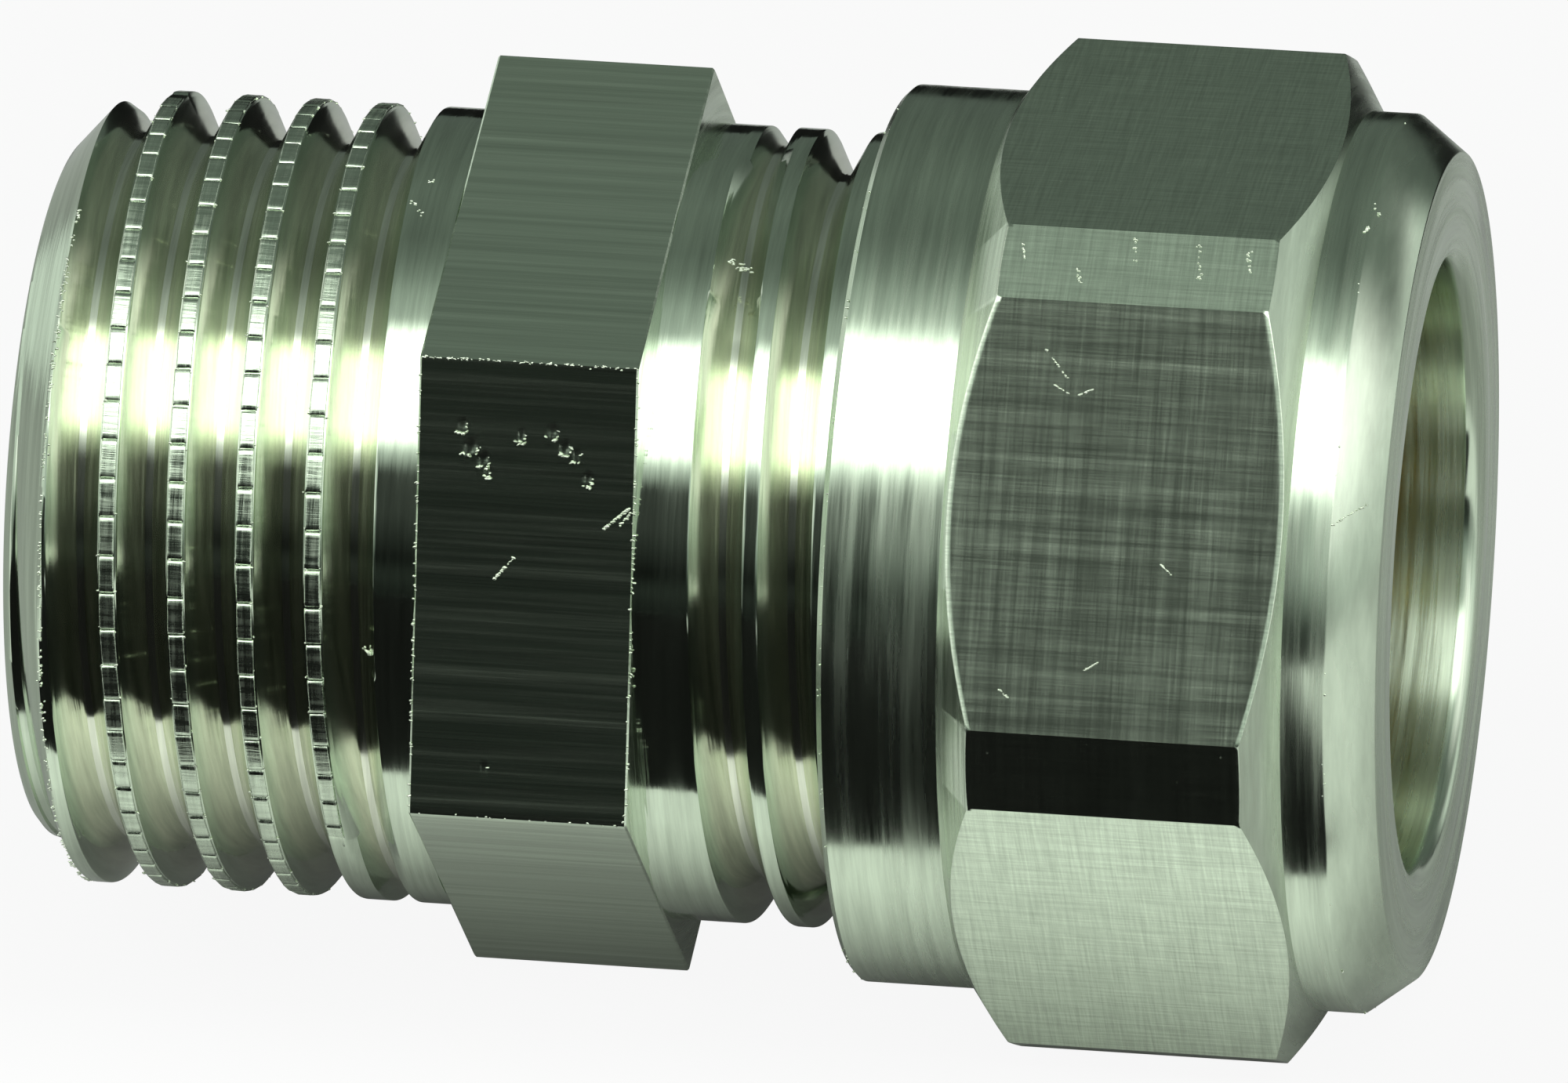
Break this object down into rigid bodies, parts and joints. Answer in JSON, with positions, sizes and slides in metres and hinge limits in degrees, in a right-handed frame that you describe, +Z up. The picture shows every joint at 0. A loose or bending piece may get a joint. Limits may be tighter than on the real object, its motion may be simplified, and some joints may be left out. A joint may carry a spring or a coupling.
{
  "type": "compression union",
  "caption": "Straight compression union: male pipe thread on one end, tube clamp with hexagon nut and ring on the other.",
  "frame": {"origin": "on the tube axis, in the plane of the stop that the end of the tube meets", "axes": "+X out of the tube end along the tube axis, +Z up as the union lies on one flat of its nut"},
  "size_m": [0.0365, 0.0264, 0.024],
  "materials": {
    "plated_body": "nickel plated, turned and drawn, satin",
    "plated_nut": "nickel plated, turned and drawn, satin",
    "ring_brass": "bare brass, turned"
  },
  "bodies": {
    "body": {"body": "plated_body"},
    "ring": {"compression_ring": "ring_brass"},
    "nut": {"compression_nut": "plated_nut"}
  },
  "joints": [
    {"name": "ring_slide", "type": "slide", "parent": "body", "child": "ring", "axis": [1, 0, 0], "range_m": [0, 0.0064]},
    {"name": "nut_turn", "type": "hinge", "parent": "ring", "child": "nut", "pos_m": [0, 0, 0], "axis": [1, 0, 0], "range_deg": [0, 1260]}
  ],
  "couplings": [
    {"joint": "ring_slide", "follows": "nut_turn", "m_per_rad": 0.00028875}
  ]
}
